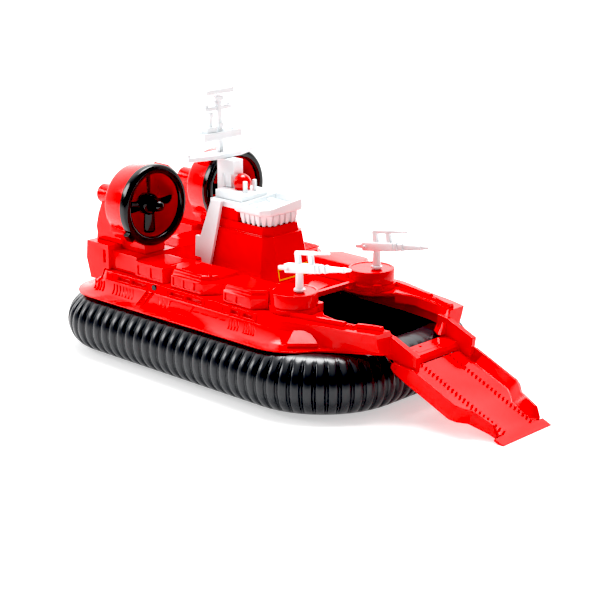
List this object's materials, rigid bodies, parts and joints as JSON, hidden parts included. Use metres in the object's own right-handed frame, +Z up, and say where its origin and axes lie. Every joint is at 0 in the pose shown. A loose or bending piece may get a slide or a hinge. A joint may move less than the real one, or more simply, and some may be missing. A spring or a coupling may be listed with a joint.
{
  "type": "toy hovercraft",
  "caption": "Toy hovercraft with a ribbed skirt, ducted fans, a bridge with a mast, turning deck guns and an open hold with a hinged bow ramp.",
  "frame": {"origin": "on the ground, under the middle of the bounding box with the ramp let down", "axes": "+X to the bow, +Y to port, +Z up"},
  "size_m": [0.4666, 0.236, 0.2376],
  "materials": {
    "red_plastic": "gloss",
    "black_plastic": "satin",
    "white_plastic": "satin",
    "lamp_plastic": "gloss"
  },
  "bodies": {
    "craft": {"beacon": "lamp_plastic", "bridge_roof": "white_plastic", "bridge_windows": "white_plastic", "deck_hatch": "red_plastic", "fan_drum_port": "red_plastic", "fan_drum_starboard": "red_plastic", "fan_pylon_port": "red_plastic", "fan_pylon_starboard": "red_plastic", "fan_ring_port": "black_plastic", "fan_ring_starboard": "black_plastic", "gun_base_port": "red_plastic", "gun_base_starboard": "red_plastic", "hold_floor": "black_plastic", "hold_rear_beam": "red_plastic", "hull": "red_plastic", "lamp_house": "white_plastic", "mast_column": "white_plastic", "mast_leg_port": "white_plastic", "mast_leg_starboard": "white_plastic", "mast_post": "white_plastic", "mast_wing": "white_plastic", "side_house_aft_port": "red_plastic", "side_house_aft_starboard": "red_plastic", "side_house_fore_port": "red_plastic", "side_house_fore_starboard": "red_plastic", "side_locker_port": "red_plastic", "side_locker_starboard": "red_plastic", "skirt": "black_plastic", "stern_block_port": "red_plastic", "stern_block_starboard": "red_plastic", "tower": "red_plastic"},
    "ramp": {"ramp": "red_plastic"},
    "gun_starboard": {"gun_starboard": "white_plastic"},
    "gun_port": {"gun_port": "white_plastic"},
    "fan_starboard": {"fan_rotor_starboard": "black_plastic"},
    "fan_port": {"fan_rotor_port": "black_plastic"}
  },
  "joints": [
    {"name": "ramp_hinge", "type": "hinge", "parent": "craft", "child": "ramp", "pos_m": [0.129, 0, 0.043], "axis": [0, -1, 0], "range_deg": [0, 105]},
    {"name": "gun_starboard_turn", "type": "hinge", "parent": "craft", "child": "gun_starboard", "pos_m": [0.0295, -0.0494, 0.0891], "axis": [0, 0, 1], "range_deg": [-150, 40]},
    {"name": "gun_port_turn", "type": "hinge", "parent": "craft", "child": "gun_port", "pos_m": [0.0295, 0.0494, 0.0891], "axis": [0, 0, 1], "range_deg": [-40, 150]},
    {"name": "fan_starboard_spin", "type": "hinge", "parent": "craft", "child": "fan_starboard", "pos_m": [-0.155, -0.0503, 0.1338], "axis": [1, 0, 0], "continuous": true},
    {"name": "fan_port_spin", "type": "hinge", "parent": "craft", "child": "fan_port", "pos_m": [-0.155, 0.0503, 0.1338], "axis": [1, 0, 0], "continuous": true}
  ]
}
